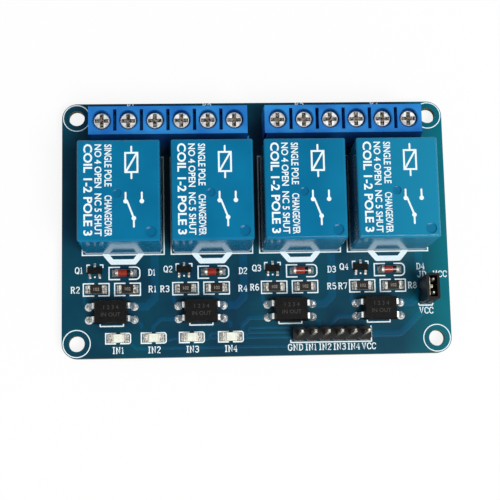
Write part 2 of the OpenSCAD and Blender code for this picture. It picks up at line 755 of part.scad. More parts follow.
module smd_end_caps() {
    color([0.82, 0.83, 0.83]) {
        at_resistors() for (m = [0, 1]) mirror([m, 0, 0]) chip_end(chip_h);
        for (x = led_x, m = [0, 1]) translate([x, led_y, board_t]) mirror([m, 0, 0]) chip_end(0.5);
        for (i = [0 : relays - 1], m = [0, 1])
            translate([relay_x(i) + diode_at[0], diode_at[1], board_t]) mirror([m, 0, 0]) diode_end();
        for (i = [0 : relays - 1]) translate([relay_x(i) + transistor_at[0], transistor_at[1], board_t]) {
            for (x = [-sot_pitch / 2, sot_pitch / 2]) translate([x, 0, 0]) transistor_lead();
            mirror([0, 1, 0]) transistor_lead();
        }
    }
}

// ---- nodes ----

pcb();
legend_print();
relay_marks();
through_hole_solder();
smd_end_caps();
transistors();
diodes();
resistors();
status_leds();
relay_bases();
relay_bobbins();
relay_coils();
relay_yokes();
relay_contacts();
terminal_block(0);  // terminal_block_left
terminal_block(run_poles);  // terminal_block_right
terminal_pins();
header_bases();
header_pins();
jumper_cap();
jumper_clip();
optocoupler_leads();
for (i = [0 : relays - 1]) {
    relay_cover(i);
    relay_armature(i);
    optocoupler(i);
}
for (n = [0 : 2 * run_poles - 1]) {
    terminal_screw(n);
    terminal_cage(n);
}
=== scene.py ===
# %% [markdown]
# # A four-channel relay board
# The shapes of the board and its parts come ready from the construction model, in metres
# and in their working places. This lesson gives each of them its finish, draws the copper
# tracks and the printed words, and sets up the camera, the light and the floor.

# %% Load the construction model
import math
import json
import bpy
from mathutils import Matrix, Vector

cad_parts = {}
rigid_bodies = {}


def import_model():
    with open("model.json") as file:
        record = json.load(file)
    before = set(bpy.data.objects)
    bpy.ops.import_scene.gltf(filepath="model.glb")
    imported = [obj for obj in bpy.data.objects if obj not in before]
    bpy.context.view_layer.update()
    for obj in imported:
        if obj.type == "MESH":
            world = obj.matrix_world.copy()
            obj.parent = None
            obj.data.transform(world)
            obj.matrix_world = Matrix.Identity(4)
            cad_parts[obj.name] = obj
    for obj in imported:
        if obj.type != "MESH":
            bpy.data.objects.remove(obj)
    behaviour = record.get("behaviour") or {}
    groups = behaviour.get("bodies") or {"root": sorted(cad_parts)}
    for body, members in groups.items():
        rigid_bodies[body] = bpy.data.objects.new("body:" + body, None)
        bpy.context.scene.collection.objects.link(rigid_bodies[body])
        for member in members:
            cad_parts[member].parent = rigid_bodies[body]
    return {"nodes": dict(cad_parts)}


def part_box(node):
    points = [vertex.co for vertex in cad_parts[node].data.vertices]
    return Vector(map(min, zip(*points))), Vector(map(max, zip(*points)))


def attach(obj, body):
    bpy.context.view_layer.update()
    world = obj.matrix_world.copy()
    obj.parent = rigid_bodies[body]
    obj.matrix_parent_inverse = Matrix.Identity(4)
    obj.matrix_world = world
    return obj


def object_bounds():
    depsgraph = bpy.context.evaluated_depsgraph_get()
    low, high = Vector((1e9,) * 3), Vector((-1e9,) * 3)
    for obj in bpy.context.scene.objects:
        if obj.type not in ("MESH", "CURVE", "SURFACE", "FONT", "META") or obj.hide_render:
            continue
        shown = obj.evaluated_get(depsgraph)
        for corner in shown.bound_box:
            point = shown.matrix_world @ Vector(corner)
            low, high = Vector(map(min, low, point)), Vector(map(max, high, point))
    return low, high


for leftover in list(bpy.data.objects):
    bpy.data.objects.remove(leftover)
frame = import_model()
nodes = frame["nodes"]
construction_box = [[float(v) for v in corner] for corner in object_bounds()]
print(len(nodes), "nodes; box", construction_box)

# %% Sizes that many cells need
mm = 0.001
board_low, board_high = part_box("pcb")
board_top = board_high[2]


def middle(node):
    """The middle of a node's box."""
    low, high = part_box(node)
    return [(low[k] + high[k]) / 2 for k in range(3)]


relay_middles = [middle(f"relay_{n}_cover") for n in range(1, 5)]
relay_pitch = relay_middles[1][0] - relay_middles[0][0]
relay_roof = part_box("relay_1_cover")[1][2]
pin_pitch = 2.54 * mm
print("board top at", round(board_top / mm, 2), "mm; relays at x",
      [round(m[0] / mm, 2) for m in relay_middles], "mm")

# %% [markdown]
# ## Camera
# Product shots of a small board are taken from nearly overhead with a long lens, so that
# the board's sides stay almost parallel. The camera leans a little to the front and to the
# left, which shows the front walls and the left walls of the tall parts.

# %% Add the camera
bpy.ops.object.camera_add(location=(-0.01315, -0.042605, 0.240045),
                          rotation=(0.159124, -0.046606, -0.021565))
camera = bpy.context.object
camera.data.sensor_width = 36
camera.data.lens = 88.24
camera.data.clip_start = 0.01
bpy.context.scene.camera = camera
bpy.context.scene.view_settings.view_transform = "Standard"
print("lens", camera.data.lens, "mm")

# %% [markdown]
# ## Light
# A white tent gives even light with soft, short shadows. The world stands for the tent: it
# is plain white behind the object, and dimmer overhead, where the camera's own dark opening
# is, so that glossy plastic keeps its colour. One large soft lamp adds a direction. Several
# small lamps could do it too, but each would show as a spot in every shiny part.

# %% One helper turns a written colour into light, one adds a node
def linear(colour):
    """A hex colour as the linear values that shaders need."""
    channels = [int(colour[k:k + 2], 16) / 255 for k in (1, 3, 5)]
    return [c / 12.92 if c <= 0.04045 else ((c + 0.055) / 1.055) ** 2.4 for c in channels] + [1]


def add_node(tree, kind, settings={}, links={}):
    """Adds a node, sets its sockets or options, and links other nodes' outputs to it."""
    node = tree.nodes.new(kind)
    for name, value in settings.items():
        if isinstance(name, int) or name in node.inputs:
            node.inputs[name].default_value = value
        else:
            setattr(node, name, value)
    for name, source in links.items():
        tree.links.new(source, node.inputs[name])
    return node


print("white is", linear("#FFFFFF"))

# %% The tent
world = bpy.data.worlds.new("white_tent")
bpy.context.scene.world = world
world.use_nodes = True
sky = world.node_tree
sky.nodes.clear()
path = add_node(sky, "ShaderNodeLightPath")
place = add_node(sky, "ShaderNodeTexCoord")
height = add_node(sky, "ShaderNodeSeparateXYZ", links={"Vector": place.outputs["Generated"]})
wall_level, opening_level, light_level, plain_white = 1.1, 0.22, 0.37, 1.0
overhead = add_node(sky, "ShaderNodeMapRange", {"From Min": 0.6, "From Max": 0.93,
                                                "To Min": wall_level,
                                                "To Max": opening_level},
                    {"Value": height.outputs["Z"]})
seen = add_node(sky, "ShaderNodeMath", {"operation": "MAXIMUM"},
                {0: path.outputs["Is Camera Ray"], 1: path.outputs["Is Transmission Ray"]})
soft = add_node(sky, "ShaderNodeMix", {2: light_level},
                {"Factor": path.outputs["Is Glossy Ray"], 3: overhead.outputs["Result"]})
strength = add_node(sky, "ShaderNodeMix", {3: plain_white},
                    {"Factor": seen.outputs[0], 2: soft.outputs[0]})
glow = add_node(sky, "ShaderNodeBackground", {"Color": linear("#FFFFFF")},
                {"Strength": strength.outputs[0]})
add_node(sky, "ShaderNodeOutputWorld", links={"Surface": glow.outputs[0]})
print(len(sky.nodes), "nodes in the world")

# %% The lamp
to_right, to_front, up = 0.36, 0.42, 1.15
bpy.ops.object.light_add(type="AREA", location=(to_right, -to_front, up))
lamp = bpy.context.object
lamp.data.shape = "DISK"
lamp.data.size = 0.6
lamp.data.energy = 13.6
lean = math.atan(math.hypot(to_right, to_front) / up)
lamp.rotation_euler = (lean, 0, math.atan(to_right / to_front))
print("lamp", lamp.data.energy, "W,", lamp.data.size, "m across, leans",
      round(math.degrees(lean)), "degrees")

# %% [markdown]
# ## Floor
# The board stands on the trimmed ends of its leads on a white sheet of card. The card is
# almost plain white to the camera, and keeps a part of its real shading, which is the soft
# shadow under the board. A shadow catcher could do that, but a real sheet also throws light
# back up. Its underside lets the camera through, so that the soldered side can be seen.

# %% Add the floor under the lead ends
floor_z = construction_box[0][2] - 0.02 * mm
bpy.ops.mesh.primitive_plane_add(size=3, location=(0, 0, floor_z))
floor = bpy.context.object
floor.name = "card_floor"
bpy.ops.object.transform_apply(location=True)
print("floor at", round(floor_z / mm, 2), "mm")

# %% The card's two faces
seen_white = 0.86
card = bpy.data.materials.new("white_card")
card.use_nodes = True
tree = card.node_tree
tree.nodes.clear()
path = add_node(tree, "ShaderNodeLightPath")
camera_or_gloss = add_node(tree, "ShaderNodeMath", {"operation": "MAXIMUM"},
                           {0: path.outputs["Is Camera Ray"], 1: path.outputs["Is Glossy Ray"]})
seen = add_node(tree, "ShaderNodeMath", {"operation": "MAXIMUM"},
                {0: camera_or_gloss.outputs[0], 1: path.outputs["Is Transmission Ray"]})
share = add_node(tree, "ShaderNodeMath", {"operation": "MULTIPLY", 1: seen_white},
                 {0: seen.outputs[0]})
paper = add_node(tree, "ShaderNodeBsdfDiffuse", {"Color": linear("#F4F4F4")})
white = add_node(tree, "ShaderNodeEmission", {"Color": linear("#FFFFFF"), "Strength": 1.0})
both = add_node(tree, "ShaderNodeMixShader", links={0: share.outputs[0], 1: paper.outputs[0],
                                                    2: white.outputs[0]})
side = add_node(tree, "ShaderNodeNewGeometry")
under = add_node(tree, "ShaderNodeMath", {"operation": "MULTIPLY"},
                 {0: side.outputs["Backfacing"], 1: path.outputs["Is Camera Ray"]})
gone = add_node(tree, "ShaderNodeBsdfTransparent")
cut = add_node(tree, "ShaderNodeMixShader", links={0: under.outputs[0], 1: both.outputs[0],
                                                   2: gone.outputs[0]})
add_node(tree, "ShaderNodeOutputMaterial", links={"Surface": cut.outputs[0]})
floor.data.materials.append(card)
print(card.name, "has", len(tree.nodes), "nodes")

# %% [markdown]
# ## Finishes
# Each finish starts from the real material. A helper starts a material with its shader and
# its place on the object, and another hands it to the nodes that are made of it.

# %% Start a material; give it to nodes
def start_material(name, colour, roughness, metallic=0.0, ior=1.5):
    """A material with a Principled shader, its tree and its Object coordinates."""
    material = bpy.data.materials.new(name)
    material.use_nodes = True
    tree = material.node_tree
    shader = tree.nodes["Principled BSDF"]
    shader.inputs["Base Color"].default_value = linear(colour)
    shader.inputs["Roughness"].default_value = roughness
    shader.inputs["Metallic"].default_value = metallic
    if metallic == 0:
        shader.inputs["IOR"].default_value = ior
    place = add_node(tree, "ShaderNodeTexCoord")
    return material, tree, shader, place


def give(material, *names):
    """Puts the material in every slot of each named node."""
    for name in names:
        mesh = nodes[name].data
        for k in range(len(mesh.materials)):
            mesh.materials[k] = material
    print(material.name, "on", len(names), "nodes")


print(sum(len(node.data.materials) for node in nodes.values()), "material slots to fill")

# %% [markdown]
# ### Solder mask on glass-epoxy laminate
# The board is woven glass cloth in epoxy resin with a glossy blue lacquer, the solder mask,
# on both faces. The lacquer is thin and slightly uneven, and the weave just shows through it
# as a ripple of half a millimetre. Towards the right end its blue turns greener and paler;
# that is painted light. The cut edges show the bare laminate, yellowish with faint layers.
# Two materials could share the board; one is simpler, since the direction that a face
# points in tells the two apart.

# %% Solder mask
wave_unit = 0.314  # a Wave texture whose scale is 1 repeats after this length
weave_pitch = 0.5 * mm


def solder_mask(name, deep, green):
    """Glossy mask lacquer in clouds of blue; painted light greens it towards the right end."""
    material, tree, shader, place = start_material(name, deep, 0.3)
    shader.inputs["Specular IOR Level"].default_value = 0.11
    spot = add_node(tree, "ShaderNodeSeparateXYZ", links={"Vector": place.outputs["Object"]})
    # Painted light: the mask turns greener and paler towards the board's right end.
    painted_light_drift = add_node(tree, "ShaderNodeMapRange", {"From Min": 28 * mm, "From Max": 40 * mm},
                     {"Value": spot.outputs["X"]})
    clouds = add_node(tree, "ShaderNodeTexNoise", {"Scale": 1 / (9 * mm), "Detail": 3.0},
                      {"Vector": place.outputs["Object"]})
    lean = add_node(tree, "ShaderNodeMath", {"operation": "MULTIPLY_ADD", 1: 0.7},
                    {0: clouds.outputs["Fac"], 2: painted_light_drift.outputs["Result"]})
    amount = add_node(tree, "ShaderNodeMapRange", {"From Min": 0.25, "From Max": 1.4},
                      {"Value": lean.outputs[0]})
    blue = add_node(tree, "ShaderNodeMix", {"data_type": "RGBA", 6: linear(deep),
                                            7: linear(green)},
                    {"Factor": amount.outputs["Result"]})
    weave = [add_node(tree, "ShaderNodeTexWave", {"bands_direction": axis,
                                                  "Scale": wave_unit / weave_pitch,
                                                  "Distortion": 0.6},
                      {"Vector": place.outputs["Object"]}) for axis in ("X", "Y")]
    cloth = add_node(tree, "ShaderNodeMath", {"operation": "ADD"},
                     {0: weave[0].outputs["Fac"], 1: weave[1].outputs["Fac"]})
    bump = add_node(tree, "ShaderNodeBump", {"Strength": 0.25, "Distance": 0.01 * mm},
                    {"Height": cloth.outputs[0]})
    tree.links.new(bump.outputs["Normal"], shader.inputs["Normal"])
    return material, tree, shader, place, blue


print("the weave repeats every", round(weave_pitch / mm, 2), "mm")

# %% Mask on the board's faces, bare laminate on its edges
layer_pitch = 0.2 * mm
board_finish, tree, shader, place, blue = solder_mask("blue_solder_mask_on_laminate",
                                                      "#06344A", "#007380")
facing = add_node(tree, "ShaderNodeSeparateXYZ", links={"Vector": place.outputs["Normal"]})
flat = add_node(tree, "ShaderNodeMath", {"operation": "ABSOLUTE"}, {0: facing.outputs["Z"]})
masked = add_node(tree, "ShaderNodeMath", {"operation": "GREATER_THAN", 1: 0.5},
                  {0: flat.outputs[0]})
layers = add_node(tree, "ShaderNodeTexWave", {"bands_direction": "Z",
                                              "Scale": wave_unit / layer_pitch,
                                              "Distortion": 1.5},
                  {"Vector": place.outputs["Object"]})
edge = add_node(tree, "ShaderNodeMix", {"data_type": "RGBA", 6: linear("#4C553C"),
                                        7: linear("#6E7452")},
                {"Factor": layers.outputs["Fac"]})
skin = add_node(tree, "ShaderNodeMix", {"data_type": "RGBA"},
                {"Factor": masked.outputs[0], 6: edge.outputs[2], 7: blue.outputs[2]})
rough = add_node(tree, "ShaderNodeMapRange", {"To Min": 0.7, "To Max": 0.3},
                 {"Value": masked.outputs[0]})
tree.links.new(skin.outputs[2], shader.inputs["Base Color"])
tree.links.new(rough.outputs["Result"], shader.inputs["Roughness"])
give(board_finish, "pcb")

# %% [markdown]
# ### Screen-printed ink
# The legend is white epoxy ink pushed through a screen. It is matt and opaque, and its tone
# and thickness are slightly grainy from the screen's threads. The lines are solids of their
# own, so the ink needs no artwork, only one noise for both its tone and its bump.

# %% White ink
ink, tree, shader, place = start_material("white_screen_print_ink", "#EAF7F8", 0.6)
grain = add_node(tree, "ShaderNodeTexNoise", {"Scale": 1 / (0.35 * mm), "Detail": 2.0},
                 {"Vector": place.outputs["Object"]})
tone = add_node(tree, "ShaderNodeMix", {"data_type": "RGBA", 6: linear("#D8E9EE"),
                                        7: linear("#F6FFFF")}, {"Factor": grain.outputs["Fac"]})
bump = add_node(tree, "ShaderNodeBump", {"Strength": 0.3, "Distance": 0.01 * mm},
                {"Height": grain.outputs["Fac"]})
tree.links.new(tone.outputs[2], shader.inputs["Base Color"])
tree.links.new(bump.outputs["Normal"], shader.inputs["Normal"])
give(ink, "legend_print", "relay_marks")

# %% [markdown]
# ### Moulded plastics
# Most housings are injection moulded. The mould's skin leaves a fine ripple that breaks up
# the gloss, and the colour is never quite even where the melt flowed together. One function
# makes such a plastic from its two tones, its roughness and the size of its grain; specular
# is weaker than the usual 0.5, because the skin scatters light from just below it.

# %% A moulded plastic
skin_ripple = 0.01 * mm


def moulded(name, dark, light, roughness, grain_mm, depth=0.3, clouds_mm=4.0,
            specular=0.2):
    """Injection-moulded plastic with faint flow clouds and a fine grain."""
    material, tree, shader, place = start_material(name, light, roughness)
    shader.inputs["Specular IOR Level"].default_value = specular
    clouds = add_node(tree, "ShaderNodeTexNoise", {"Scale": 1 / (clouds_mm * mm), "Detail": 2.0},
                      {"Vector": place.outputs["Object"]})
    spread = add_node(tree, "ShaderNodeMapRange", {"From Min": 0.3, "From Max": 0.7},
                      {"Value": clouds.outputs["Fac"]})
    tone = add_node(tree, "ShaderNodeMix", {"data_type": "RGBA", 6: linear(dark),
                                            7: linear(light)},
                    {"Factor": spread.outputs["Result"]})
    grain = add_node(tree, "ShaderNodeTexNoise", {"Scale": 1 / (grain_mm * mm), "Detail": 3.0},
                     {"Vector": place.outputs["Object"]})
    bump = add_node(tree, "ShaderNodeBump", {"Strength": depth, "Distance": skin_ripple},
                    {"Height": grain.outputs["Fac"]})
    tree.links.new(tone.outputs[2], shader.inputs["Base Color"])
    tree.links.new(bump.outputs["Normal"], shader.inputs["Normal"])
    return material, tree, shader, place, tone


print("a mould's skin ripples by", round(skin_ripple / mm, 3), "mm at most")

# %% [markdown]
# ### Relay cases
# A relay's case is glossy PBT in a green-blue. Towards the right end the cases turn a little
# greener and paler than the others; that is painted light. Two round gate marks are sunk
# into each roof, where the melt came in and where the case is sealed. Their floors carry
# painted shade, a darker tone, and are dished by a bump, since the real mark is a shallow
# cup. All four cases share one material, so a mark's place comes from the distance along
# the row, wrapped at the relays' spacing.

# %% Glossy PBT, with painted light that pales it towards the right end
relay_blue, tree, shader, place, tone = moulded("glossy_moulded_pbt_relay_case", "#066890",
                                                "#08739D", roughness=0.12, grain_mm=0.6,
                                                depth=0.005, clouds_mm=8.0, specular=0.12)
spot = add_node(tree, "ShaderNodeSeparateXYZ", links={"Vector": place.outputs["Object"]})
# Painted light: the cases turn greener and paler towards the right end.
painted_light_drift = add_node(tree, "ShaderNodeMapRange", {"From Min": 10 * mm, "From Max": 32 * mm,
                                              "To Max": 0.8}, {"Value": spot.outputs["X"]})
green = add_node(tree, "ShaderNodeMix", {"data_type": "RGBA", 7: linear("#1E86A8")},
                 {"Factor": painted_light_drift.outputs["Result"], 6: tone.outputs[2]})
give(relay_blue, *[f"relay_{n}_cover" for n in range(1, 5)])

# %% Painted shade on the floors of the gate marks
under_roof = relay_roof - 0.1 * mm
facing = add_node(tree, "ShaderNodeSeparateXYZ", links={"Vector": place.outputs["Normal"]})
level = add_node(tree, "ShaderNodeMath", {"operation": "GREATER_THAN", 1: 0.9},
                 {0: facing.outputs["Z"]})
below = add_node(tree, "ShaderNodeMath", {"operation": "LESS_THAN", 1: under_roof},
                 {0: spot.outputs["Z"]})
in_mark = add_node(tree, "ShaderNodeMath", {"operation": "MULTIPLY"},
                   {0: level.outputs[0], 1: below.outputs[0]})
half = add_node(tree, "ShaderNodeMath", {"operation": "MULTIPLY", 1: 0.5},
                {0: in_mark.outputs[0]})
# Painted shade: the level floors of the marks, below the roof, turn darker.
mark_floor_painted_shade = add_node(tree, "ShaderNodeMix", {"data_type": "RGBA", 7: linear("#045C88")},
                   {"Factor": half.outputs[0], 6: green.outputs[2]})
tree.links.new(mark_floor_painted_shade.outputs[2], shader.inputs["Base Color"])
print("the marks' floors lie below", round(under_roof / mm, 2), "mm")

# %% Their dished floors
cover_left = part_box("relay_1_cover")[0][0]
relay_y = relay_middles[0][1]
gate_marks = [(7.4 * mm, relay_y - 0.6 * mm, 0.85 * mm),
              (13.6 * mm, relay_y - 7.9 * mm, 1.05 * mm)]
along = add_node(tree, "ShaderNodeMath", {"operation": "SUBTRACT", 1: cover_left},
                 {0: spot.outputs["X"]})
wrapped = add_node(tree, "ShaderNodeMath", {"operation": "MODULO", 1: relay_pitch},
                   {0: along.outputs[0]})
on_one = add_node(tree, "ShaderNodeCombineXYZ", {}, {"X": wrapped.outputs[0],
                                                     "Y": spot.outputs["Y"]})
away = []
for x, y, radius in gate_marks:
    apart = add_node(tree, "ShaderNodeVectorMath", {"operation": "DISTANCE", 1: (x, y, 0)},
                     {0: on_one.outputs[0]})
    away.append(add_node(tree, "ShaderNodeMath", {"operation": "DIVIDE", 1: radius},
                         {0: apart.outputs["Value"]}))
nearest = add_node(tree, "ShaderNodeMath", {"operation": "MINIMUM"},
                   {0: away[0].outputs[0], 1: away[1].outputs[0]})
inside = add_node(tree, "ShaderNodeMath", {"operation": "MINIMUM", 1: 1.0},
                  {0: nearest.outputs[0]})
cup = add_node(tree, "ShaderNodeMath", {"operation": "POWER", 1: 4.0}, {0: inside.outputs[0]})
dished = add_node(tree, "ShaderNodeBump", {"Strength": 1.0, "Distance": 0.12 * mm},
                  {"Height": cup.outputs[0],
                   "Normal": shader.inputs["Normal"].links[0].from_socket})
tree.links.new(dished.outputs["Normal"], shader.inputs["Normal"])
print("gate marks of radius", [round(radius / mm, 2) for x, y, radius in gate_marks], "mm")

# %% [markdown]
# ### Plainer mouldings
# The relay's base is a darker PBT, since it is never seen from above. The coil former is
# natural nylon, an ivory plastic that stands the heat of the winding. The header strips and
# the jumper cap are black plastic filled with glass fibre, which makes it satin.

# %% Base, coil former and headers
base_finish = moulded("moulded_pbt_relay_base", "#12384F", "#164560", 0.4, 0.4)[0]
give(base_finish, "relay_bases")
former = moulded("natural_nylon_coil_former", "#D9D2BC", "#E6E0CE", 0.45, 0.4)[0]
give(former, "relay_bobbins")
header_black = moulded("black_moulded_header_plastic", "#0E0E10", "#1A1A1C", 0.38, 0.3,
                       depth=0.4)[0]
give(header_black, "header_bases", "jumper_cap")

# %% [markdown]
# ### Terminal blocks
# The screw terminals are moulded in bright blue polyamide. On its relay side each block has
# a long slope, close to the relays' walls, which stands in their shade. That shade is painted:
# faces that point towards the relays get an almost navy tone beside the bright deck.

# %% Bright blue polyamide
block_blue, tree, shader, place, tone = moulded("moulded_polyamide_terminal_block", "#1966B6",
                                                "#2C88D0", roughness=0.3, grain_mm=0.5,
                                                depth=0.3, clouds_mm=5.0)
facing = add_node(tree, "ShaderNodeSeparateXYZ", links={"Vector": place.outputs["Normal"]})
# Painted shade: faces that point towards the relays turn deep navy.
slope_painted_shade = add_node(tree, "ShaderNodeMapRange", {"From Min": -0.3, "From Max": -0.8,
                                               "To Max": 0.85}, {"Value": facing.outputs["Y"]})
deep = add_node(tree, "ShaderNodeMix", {"data_type": "RGBA", 7: linear("#07285C")},
                {"Factor": slope_painted_shade.outputs["Result"], 6: tone.outputs[2]})
tree.links.new(deep.outputs[2], shader.inputs["Base Color"])
give(block_blue, "terminal_block_left", "terminal_block_right")

# %% [markdown]
# ### Black epoxy packages
# Transistors and optocouplers are moulded in black epoxy filled with fine silica. The
# surface is satin, a warm near-black, and speckled by the filler, so the moulded plastic is
# used again with a grain of about a tenth of a millimetre and hardly any gloss.

# %% Black epoxy
epoxy = moulded("black_transfer_moulded_epoxy", "#0A0909", "#141312", roughness=0.5,
                grain_mm=0.12, depth=0.6, clouds_mm=0.5, specular=0.1)[0]
give(epoxy, "transistors", *[f"optocoupler_{n}" for n in range(1, 5)])

# %% [markdown]
# ### Glass diodes
# A small-signal diode is a bead of orange-red glass with a black band printed round it at
# its cathode end. All four are one mesh, and each sits at the same place beside its relay,
# so the band comes from the distance along the board, wrapped at the relays' spacing.

# %% Red glass with a black band
glass, tree, shader, place = start_material("orange_red_diode_glass", "#9E2413", 0.12, ior=1.52)
diode_low, diode_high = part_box("diodes")
one_length = diode_high[0] - diode_low[0] - 3 * relay_pitch
spot = add_node(tree, "ShaderNodeSeparateXYZ", links={"Vector": place.outputs["Object"]})
along = add_node(tree, "ShaderNodeMath", {"operation": "SUBTRACT", 1: diode_low[0]},
                 {0: spot.outputs["X"]})
wrapped = add_node(tree, "ShaderNodeMath", {"operation": "MODULO", 1: relay_pitch},
                   {0: along.outputs[0]})
band = add_node(tree, "ShaderNodeMath", {"operation": "COMPARE", 1: one_length * 0.85,
                                         2: 0.34 * mm}, {0: wrapped.outputs[0]})
streaks = add_node(tree, "ShaderNodeTexNoise", {"Scale": 1 / (0.5 * mm), "Detail": 2.0},
                   {"Vector": place.outputs["Object"]})
red = add_node(tree, "ShaderNodeMix", {"data_type": "RGBA", 6: linear("#5E120B"),
                                       7: linear("#B8391F")}, {"Factor": streaks.outputs["Fac"]})
banded = add_node(tree, "ShaderNodeMix", {"data_type": "RGBA", 7: linear("#141010")},
                  {"Factor": band.outputs[0], 6: red.outputs[2]})
tree.links.new(banded.outputs[2], shader.inputs["Base Color"])
give(glass, "diodes")
print("one diode is", round(one_length / mm, 2), "mm long")

# %% [markdown]
# ### Chip resistors and lamps
# A chip resistor is a white alumina plate whose top carries the resistive film under a
# black glass glaze; again the direction of a face tells top from sides. A status lamp is a
# chip under a block of milky cast epoxy, here an almost white plastic without a light in it,
# as the real one looks when it is off.

# %% Glazed ceramic and milky epoxy
ceramic, tree, shader, place = start_material("glazed_alumina_chip", "#1B1714", 0.25)
facing = add_node(tree, "ShaderNodeSeparateXYZ", links={"Vector": place.outputs["Normal"]})
top = add_node(tree, "ShaderNodeMath", {"operation": "GREATER_THAN", 1: 0.5},
               {0: facing.outputs["Z"]})
speckle = add_node(tree, "ShaderNodeTexNoise", {"Scale": 1 / (0.15 * mm)},
                   {"Vector": place.outputs["Object"]})
glaze = add_node(tree, "ShaderNodeMix", {"data_type": "RGBA", 6: linear("#15110F"),
                                         7: linear("#2C2620")}, {"Factor": speckle.outputs["Fac"]})
plate = add_node(tree, "ShaderNodeMix", {"data_type": "RGBA", 6: linear("#D9D5CB")},
                 {"Factor": top.outputs[0], 7: glaze.outputs[2]})
tree.links.new(plate.outputs[2], shader.inputs["Base Color"])
give(ceramic, "resistors")
lens = moulded("milky_cast_epoxy_lens", "#E4E8D6", "#F6F9EE", 0.2, 0.2, depth=0.1,
               clouds_mm=0.6)[0]
give(lens, "status_leds")

# %% [markdown]
# ### Metals
# Plated and soldered metals differ in tint, in gloss and in how uneven they are. One
# function makes them from two tones, a range of roughness and the size of their mottling.
# Solder and old plating also carry a thin dull skin of flux or oxide, which scatters light
# as a paint does, so only a part of their surface is bare metal.

# %% A plated or cast metal
metal_ripple = 0.02 * mm


def metal(name, dark, light, smooth, dull, mottle_mm, depth=0.3, bare=1.0):
    """Metal whose tone and polish vary in patches; bare is the share with no dull skin."""
    material, tree, shader, place = start_material(name, light, smooth, bare)
    mottle = add_node(tree, "ShaderNodeTexNoise", {"Scale": 1 / (mottle_mm * mm), "Detail": 3.0},
                      {"Vector": place.outputs["Object"]})
    spread = add_node(tree, "ShaderNodeMapRange", {"From Min": 0.35, "From Max": 0.65},
                      {"Value": mottle.outputs["Fac"]})
    tone = add_node(tree, "ShaderNodeMix", {"data_type": "RGBA", 6: linear(dark),
                                            7: linear(light)},
                    {"Factor": spread.outputs["Result"]})
    polish = add_node(tree, "ShaderNodeMapRange", {"From Min": 0.35, "From Max": 0.65,
                                                   "To Min": smooth, "To Max": dull},
                      {"Value": mottle.outputs["Fac"]})
    bump = add_node(tree, "ShaderNodeBump", {"Strength": depth, "Distance": metal_ripple},
                    {"Height": mottle.outputs["Fac"]})
    tree.links.new(tone.outputs[2], shader.inputs["Base Color"])
    tree.links.new(polish.outputs["Result"], shader.inputs["Roughness"])
    tree.links.new(bump.outputs["Normal"], shader.inputs["Normal"])
    return material, tree, shader, place, tone


print("a plated face ripples by", round(metal_ripple / mm, 3), "mm at most")

# %% Solder, tin, brass, contact metal, iron and nickel
# Solder froze from the melt: almost white, with duller patches and a soft ripple.
solder = metal("reflowed_tin_solder", "#A8AAAA", "#FDFDFB", 0.18, 0.4, 0.5, depth=0.5,
               bare=0.75)[0]
give(solder, "through_hole_solder")
# The small chips' end caps are dull tin with dark and bright spots.
tinned = metal("matte_tin_plating", "#66625A", "#E6E3DC", 0.35, 0.6, 0.35, depth=1.0,
               bare=0.8)[0]
give(tinned, "smd_end_caps")
# The optocouplers' leads are tinned evenly, and look almost white against black epoxy.
lead_tin = metal("bright_tinned_lead_frame", "#DCDDDA", "#FDFDFA", 0.35, 0.55, 0.5)[0]
give(lead_tin, "optocoupler_leads")
# The tin on the header's brass pins is a little warmer and smoother.
pin_tin = metal("tin_plated_header_pin", "#B5AE9F", "#EEE8DA", 0.25, 0.42, 0.4, depth=0.4)[0]
give(pin_tin, "header_pins")
# Under thin tin the terminals' brass plates and the jumper's strip stay slightly yellow.
brass = metal("tinned_brass_strip", "#A9A48F", "#CFCBB8", 0.25, 0.4, 0.8)[0]
give(brass, "terminal_pins", "jumper_clip")
# The relays' contact strips are rolled brass: smooth and golden.
contact = metal("silver_faced_brass_contact", "#B99A55", "#D8BE7C", 0.2, 0.35, 0.8,
                depth=0.2)[0]
give(contact, "relay_contacts")
# The relays' iron is zinc plated, which gives a cool, slightly cloudy grey.
iron = metal("zinc_plated_soft_iron", "#93969A", "#BFC2C6", 0.25, 0.42, 1.2)[0]
give(iron, "relay_yokes", *[f"relay_{n}_armature" for n in range(1, 5)])
# Nickel on the terminals' cages is brighter, and a touch warmer.
cage = metal("nickel_plated_steel_cage", "#9FA09E", "#CBCBC6", 0.2, 0.35, 1.0, depth=0.2)[0]
give(cage, *[f"terminal_cage_{n}" for n in range(1, 13)])

# %% [markdown]
# ### Screws
# The terminal screws are zinc-plated steel. The head's face is bright with fine turning
# marks. Its cross recess and the rim's root carry painted shade, in dark and pale grey-brown
# patches. The height below the head's face tells the recess from the face.

# %% Zinc-plated screw steel
screw_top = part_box("terminal_screw_1")[1][2]
zinc, tree, shader, place, tone = metal("zinc_plated_screw_steel", "#DADAD8", "#FEFEFC", 0.25,
                                        0.5, 0.7, depth=1.0, bare=0.5)
spot = add_node(tree, "ShaderNodeSeparateXYZ", links={"Vector": place.outputs["Object"]})
# Painted shade: below the head's face, the recess and the rim's root turn dark grey-brown.
sunk = add_node(tree, "ShaderNodeMapRange", {"From Min": screw_top - 0.12 * mm,
                                             "From Max": screw_top - 0.02 * mm},
                {"Value": spot.outputs["Z"]})
recess_shade_noise = add_node(tree, "ShaderNodeTexNoise", {"Scale": 1 / (0.42 * mm), "Detail": 1.0},
                 {"Vector": place.outputs["Object"]})
patches = add_node(tree, "ShaderNodeMapRange", {"From Min": 0.38, "From Max": 0.62},
                   {"Value": recess_shade_noise.outputs["Fac"]})
dull = add_node(tree, "ShaderNodeMix", {"data_type": "RGBA", 6: linear("#1A1714"),
                                        7: linear("#968D82")},
                {"Factor": patches.outputs["Result"]})
recess_painted_shade = add_node(tree, "ShaderNodeMix", {"data_type": "RGBA"},
                {"Factor": sunk.outputs["Result"], 6: dull.outputs[2], 7: tone.outputs[2]})
tree.links.new(recess_painted_shade.outputs[2], shader.inputs["Base Color"])
give(zinc, *[f"terminal_screw_{n}" for n in range(1, 13)])
